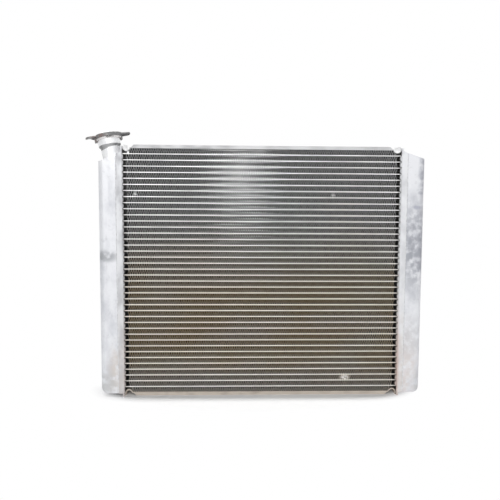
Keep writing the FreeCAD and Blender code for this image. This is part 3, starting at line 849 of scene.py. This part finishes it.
def tankTop(x):  # height of the left tank's sloping top under a place, in mm
    high, low = neckShape["tankTop"]
    reach = (-(x - core["middle"]) / mm - coreHalf) / neckShape["tankReach"]
    return high + (low - high) * reach


def neckReshape(radius, height, angle):  # cuts the cam notches, and ends the throat in the tank's top
    n = neckShape
    inNotch = abs(radius * math.cos(angle)) < n["notch"]
    if radius > n["cup"] and height > n["lip"] - 0.5 and inNotch:
        radius = n["cup"]
    if height < n["cutBelow"]:
        here = aroundNeck(radius, angle)
        top = (tankTop(here.x) - n["sunk"]) * mm
        height = max(height, (top - here.z) / neckAxis.z / mm)
    return radius, height


def makeNeck():
    n = neckShape
    lipInner = n["flange"] - n["sheet"]
    profile = [  # radius and height, up the outside, round the flange and down the inside
        (n["bore"], n["foot"]), (n["throat"], n["foot"]), (n["throat"], -0.4), (n["throat"] + 0.3, 0.3),
        (n["cup"] - 0.4, 3.6), (n["cup"], 4.6), (n["cup"], n["rim"] - 2.4), (n["cup"] + 0.6, n["rim"] - n["sheet"]),
        (lipInner - 0.3, n["rim"] - n["sheet"]), (lipInner, n["rim"] - 2.0), (lipInner, n["lip"] + 0.2),
        (lipInner + 0.3, n["lip"]), (n["flange"] - 0.3, n["lip"]), (n["flange"], n["lip"] + 0.3),
        (n["flange"], n["rim"] - 1.2), (n["flange"] - 0.4, n["rim"] - 0.3), (n["flange"] - 1.3, n["rim"]),
        (n["cupBore"] + 0.5, n["rim"]), (n["cupBore"], n["rim"] - 0.5), (n["cupBore"], n["seat"] + 0.4),
        (n["cupBore"] - 0.4, n["seat"]), (n["bore"] + 0.5, n["seat"]), (n["bore"], n["seat"] - 0.5),
    ]
    piece = lathe("neckShell", profile, "neck", "radiator", n["steps"], neckReshape)
    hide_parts("filler_neck")
    path = []
    for step in range(n["weldSteps"]):
        here = aroundNeck(n["throat"] + 0.3, 2 * math.pi * step / n["weldSteps"])
        top = (tankTop(here.x) + n["weldRise"]) * mm
        path.append(here + neckAxis * ((top - here.z) / neckAxis.z))
    makeBead("neckWeld", path, n["weld"], True)
    forward = neckMatrix.to_3x3() @ Vector((0, 1, 0))
    nipple = onNeck(0, n["nippleReach"], n["nippleHeight"])
    roundBead("nippleWeld", nipple, forward, n["nippleRadius"], n["nippleWeld"])


makeNeck()

# Pressure cap: rounded crown with a pressed ring, rolled ears, two tabs; sizes in mm
capShape = {
    "crown": [  # radius and height, from the rivet's hole over the skirt and back
        (3.05, 28.5), (9.0, 28.45), (11.0, 28.3), (12.2, 27.75), (13.4, 27.75), (14.6, 28.3), (16.5, 28.45),
        (18.5, 28.3), (21.0, 27.7), (24.0, 26.8), (25.7, 26.2), (26.3, 25.5), (26.4, 24.6), (26.4, 19.1),
        (26.2, 18.6), (25.8, 18.5), (25.4, 18.6), (25.2, 19.0), (25.2, 24.4), (24.9, 25.1), (23.6, 25.7),
        (18.2, 27.1), (16.5, 27.3), (14.6, 27.2), (13.4, 26.6), (12.2, 26.6), (11.0, 27.2), (9.0, 27.3), (3.05, 27.3),
    ],
    "tab": [  # radius and height, down the skirt's outside and under the flange
        (25.25, 19.4), (25.25, 15.2), (24.95, 14.9), (23.1, 14.9), (22.9, 14.7), (22.9, 13.9), (23.1, 13.7),
        (25.6, 13.7), (26.15, 13.95), (26.35, 14.5), (26.35, 19.4),
    ],
    "earReach": 42.5, "earRoot": 12.5, "earTip": 9.0, "earTop": 25.3, "earThick": 3.2, "rim": 1.2, "skirt": 25.5,
    "edgeSteps": 6, "tipSteps": 9, "rootSteps": 6, "rootGap": 0.3, "tipStart": 5.5, "tipRound": 5.2, "taper": 0.8,
    "lift": 3.2, "liftY": (2.0, 12.0), "liftX": (26.5, 8.0), "tabHalf": 5.5, "tabRadius": 26.0, "tabSteps": 9,
    "steps": 120, "sharpAngle": 45,
}


def earOutline(inset, side):
    c = capShape
    root, tip = c["earRoot"] - inset, c["earTip"] - inset
    reach = c["earReach"] - inset
    rootX = math.sqrt(c["skirt"] ** 2 - root ** 2)
    edge = []
    for step in range(c["edgeSteps"] + 1):  # one long edge, root to tip
        t = step / c["edgeSteps"]
        along = rootX + c["rootGap"] + (reach - c["tipStart"] - rootX) * t
        edge.append((along, root + (tip - root) * (t ** c["taper"])))
    points = [(x, -y) for x, y in edge]
    for step in range(1, c["tipSteps"]):  # rounded tip
        angle = -math.pi / 2 + math.pi * step / c["tipSteps"]
        points.append((reach - c["tipRound"] + c["tipRound"] * math.cos(angle), tip * math.sin(angle)))
    points += reversed(edge)
    for step in range(1, c["rootSteps"]):  # back along the skirt
        y = root * (1 - 2 * step / c["rootSteps"])
        points.append((math.sqrt(c["skirt"] ** 2 - y ** 2), y))
    return [(side * x, y) for x, y in points]


def earLift(x, y, side):  # the left ear's far edge is bent up a little
    if side > 0:
        return 0.0
    startY, overY = capShape["liftY"]
    startX, overX = capShape["liftX"]
    outward = min(1.0, max(0.0, (abs(x) - startX) / overX))
    return capShape["lift"] * max(0.0, (y + startY) / overY) ** 2 * outward


def capPiece(name, rings):
    points, faces = ringFaces(rings)
    piece = makePiece(name, points, faces, "cap", capShape["sharpAngle"])
    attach(piece, "cap")


def makeCapEar(side, name):
    c = capShape
    top, foot = c["earTop"], c["earTop"] - c["earThick"]
    loops = [  # inset and height, from the upper face over the rolled rim to the hollow below
        (1.6, top), (0.5, top - 0.15), (0.0, top - 0.8), (0.0, foot + 0.3), (0.35, foot),
        (c["rim"] - 0.25, foot), (c["rim"], foot + 0.3), (c["rim"], top - c["rim"]),
    ]
    rings = []
    for inset, height in loops:
        rings.append([onNeck(x, y, height + earLift(x, y, side)) for x, y in earOutline(inset, side)])
    capPiece(name, rings)


def makeCapTab(side, name):
    c = capShape
    rings = []
    for step in range(c["tabSteps"]):
        spread = (step / (c["tabSteps"] - 1) - 0.5) * 2
        angle = math.asin(c["tabHalf"] * spread / c["tabRadius"])
        ring = []
        for radius, height in c["tab"]:
            ring.append(onNeck(side * radius * math.cos(angle), radius * math.sin(angle), height))
        rings.append(ring)
    capPiece(name, rings)


crown = lathe("capCrown", capShape["crown"], "cap", "cap", capShape["steps"])
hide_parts("cap_shell")
makeCapEar(-1, "capEarLeft")
makeCapEar(1, "capEarRight")
makeCapTab(-1, "capTabLeft")
makeCapTab(1, "capTabRight")

# Pressure spring: a coil between the ends of the frame's spring, which in the real cap shortens against the disc as
# the valve lifts; sizes in mm
springShape = {"radius": 10.0, "wire": 0.98, "turns": 3.5, "steps": 28, "sides": 12, "lift": 4.0, "sharpAngle": 45}


def makeCapSpring():
    s = springShape
    heights = [(neckMatrix.inverted() @ vertex.co).z / mm for vertex in nodes["cap_spring"].data.vertices]
    low, high = min(heights), max(heights)
    count = round(s["turns"] * s["steps"])
    rings = []
    for step in range(count + 1):
        angle = 2 * math.pi * step / s["steps"]
        height = low + s["wire"] + (high - low - 2 * s["wire"]) * step / count
        ring = []
        for side in range(s["sides"]):
            around = 2 * math.pi * side / s["sides"]
            reach = s["radius"] + s["wire"] * math.cos(around)
            ring.append(aroundNeck(reach, angle, height + s["wire"] * math.sin(around)))
        rings.append(ring)
    points, faces = ringFaces(rings)
    piece = makePiece("capSpring", points, faces, "spring", s["sharpAngle"])
    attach(piece, "cap")
    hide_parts("cap_spring")
    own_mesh(piece)


makeCapSpring()
print("neck and cap made")
